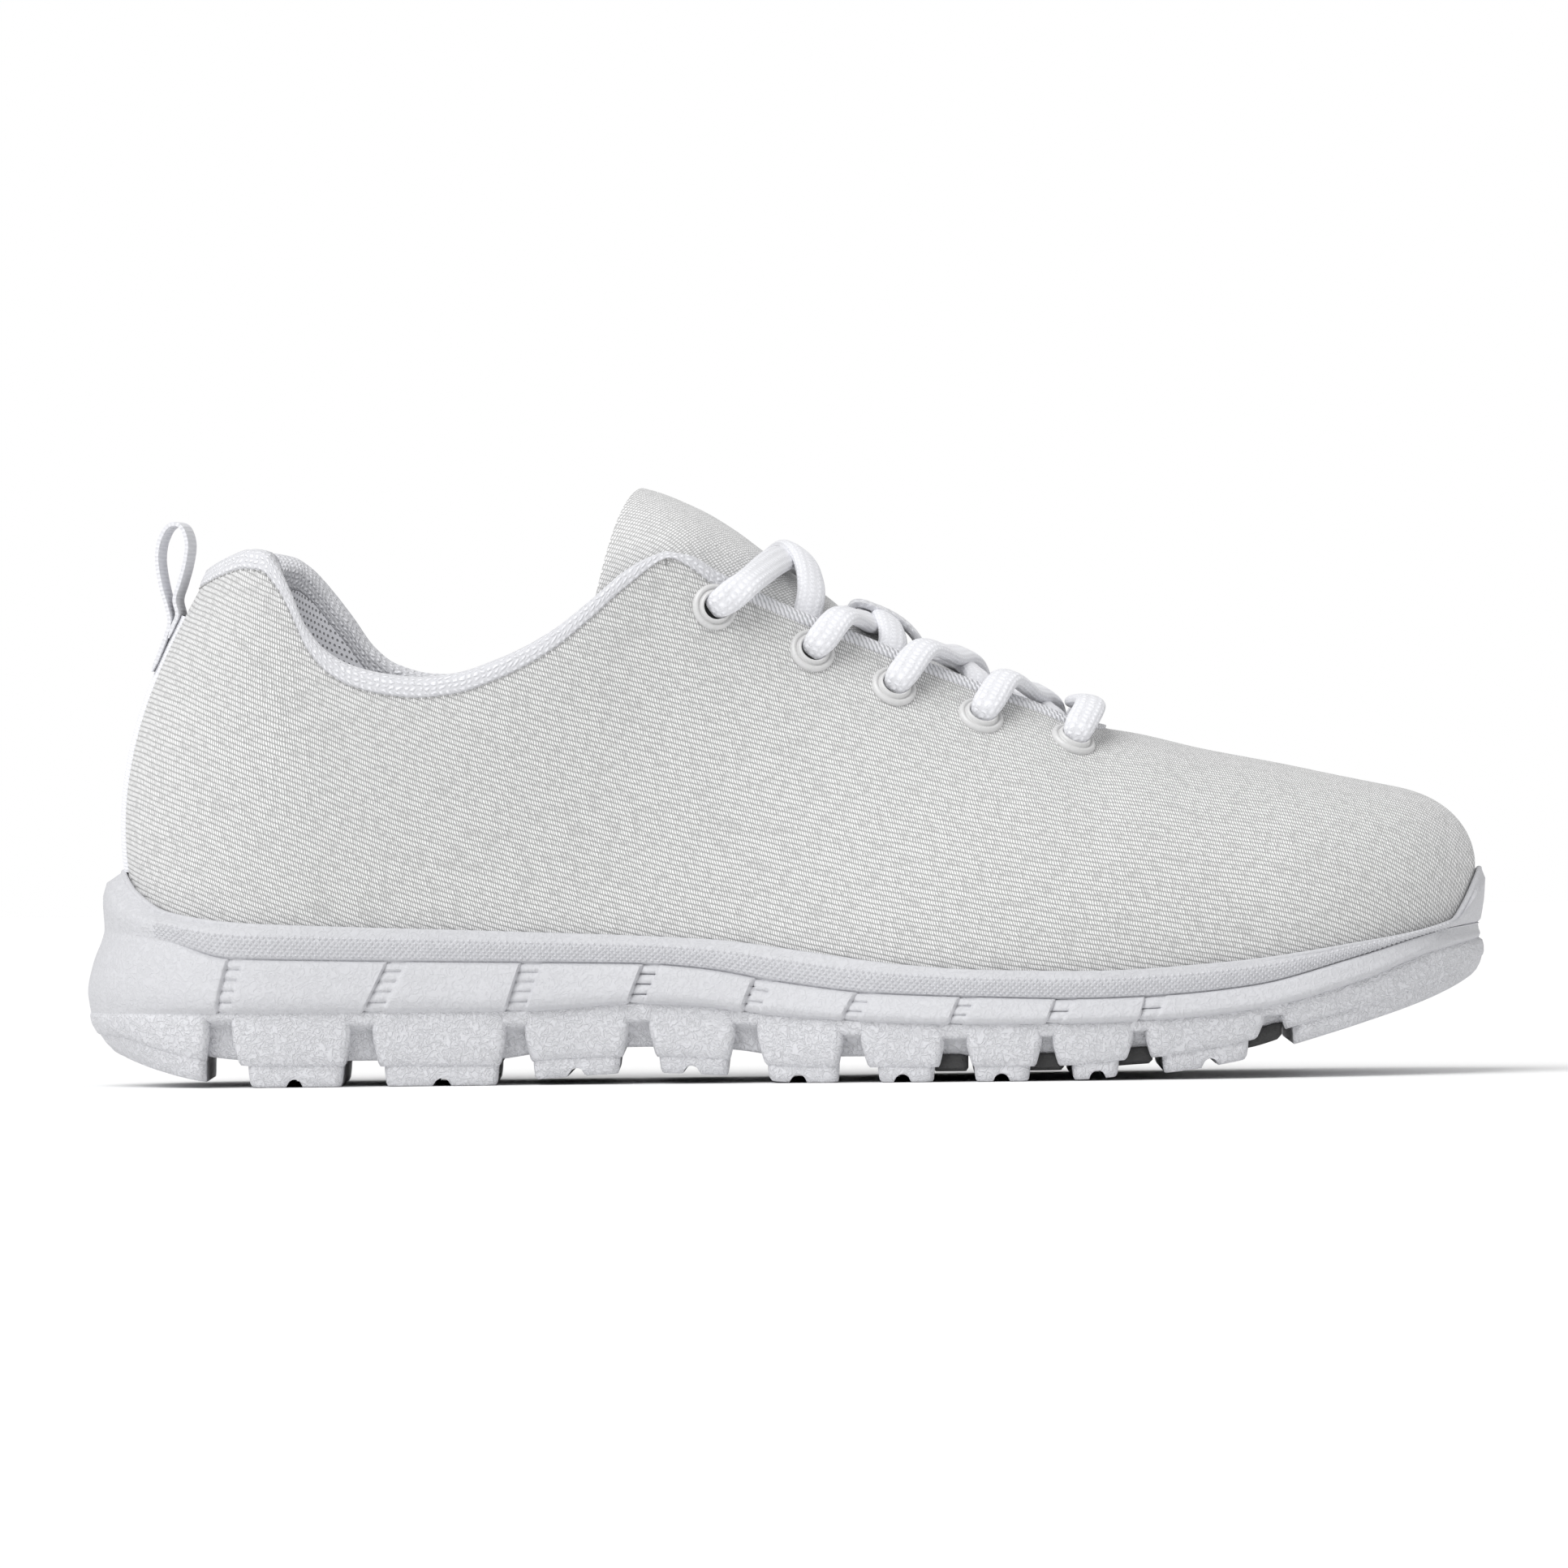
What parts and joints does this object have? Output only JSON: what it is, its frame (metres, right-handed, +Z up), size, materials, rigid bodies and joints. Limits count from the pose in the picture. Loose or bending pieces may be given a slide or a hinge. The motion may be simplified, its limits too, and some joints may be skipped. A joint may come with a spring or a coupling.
{
  "type": "running shoe",
  "caption": "Low-cut right running shoe of pale knit mesh on a moulded wave-edged sole with lugs, laced, with padded tongue and heel pull loop.",
  "frame": {"origin": "middle of the footprint's bounding box, on the floor", "axes": "+X from heel to toe, +Y to the inner side of the foot, +Z up"},
  "size_m": [0.295, 0.1056, 0.1249],
  "materials": {
    "tread_rubber": "matt pale grey rubber with a fine pebble grain",
    "sole_foam": "matt pale grey moulded foam",
    "insole_fabric": "brushed light grey textile",
    "knit_mesh": "light grey knit mesh with white dashes",
    "knit_strap": "white ribbed knit",
    "webbing": "woven white webbing",
    "eyelet_plastic": "glossy pale grey moulded ring",
    "lace_cord": "flat woven white lace"
  },
  "bodies": {
    "root": {"outsole": "tread_rubber", "midsole": "sole_foam", "insole": "insole_fabric", "upper": "knit_mesh", "tongue": "knit_mesh", "lace_keeper": "knit_strap", "heel_loop": "webbing", "eyelet_outer_1": "eyelet_plastic", "eyelet_inner_1": "eyelet_plastic", "eyelet_outer_2": "eyelet_plastic", "eyelet_inner_2": "eyelet_plastic", "eyelet_outer_3": "eyelet_plastic", "eyelet_inner_3": "eyelet_plastic", "eyelet_outer_4": "eyelet_plastic", "eyelet_inner_4": "eyelet_plastic", "eyelet_outer_5": "eyelet_plastic", "eyelet_inner_5": "eyelet_plastic", "lace_crossing_1": "lace_cord", "lace_crossing_2": "lace_cord", "lace_crossing_3": "lace_cord", "lace_crossing_4": "lace_cord", "lace_bar": "lace_cord"}
  },
  "joints": []
}
